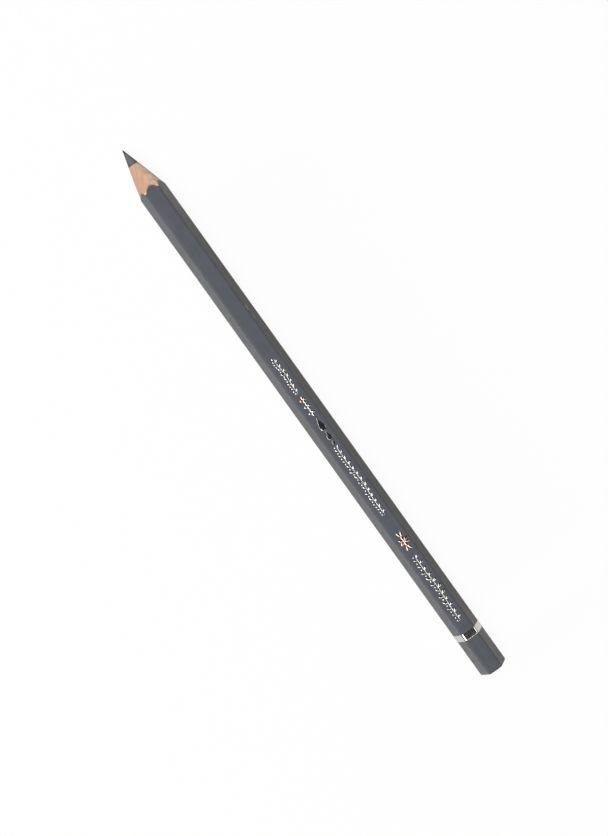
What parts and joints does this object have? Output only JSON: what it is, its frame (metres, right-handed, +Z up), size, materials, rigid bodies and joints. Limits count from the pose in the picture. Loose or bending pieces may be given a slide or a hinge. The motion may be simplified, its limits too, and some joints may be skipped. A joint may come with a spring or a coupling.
{
  "type": "watercolor pencil",
  "caption": "Sharpened hexagonal watercolor pencil: pigment lead in a glued wooden casing under grey lacquer, with a silver foil ring and a dipped rear end.",
  "frame": {"origin": "on the flat that the pencil lies on, below the middle of its length", "axes": "+X from the rear end to the point, +Z up from the resting flat, +Y to the left of someone looking along +X"},
  "size_m": [0.175, 0.0082, 0.0073],
  "materials": {
    "pigment_lead": "matt pressed pigment and clay",
    "adhesive": "dried wood glue",
    "cedar": "freshly cut, straight grained",
    "undercoat": "matt filler coat",
    "grey_lacquer": "satin lacquer",
    "silver_foil": "mirror-bright hot foil",
    "dip_lacquer": "satin dipped lacquer"
  },
  "bodies": {
    "root": {"lead": "pigment_lead", "lead_glue": "adhesive", "upper_slat": "cedar", "lower_slat": "cedar", "left_glue_line": "adhesive", "right_glue_line": "adhesive", "undercoat": "undercoat", "barrel_lacquer": "grey_lacquer", "silver_ring": "silver_foil", "end_cap": "dip_lacquer"}
  },
  "joints": []
}
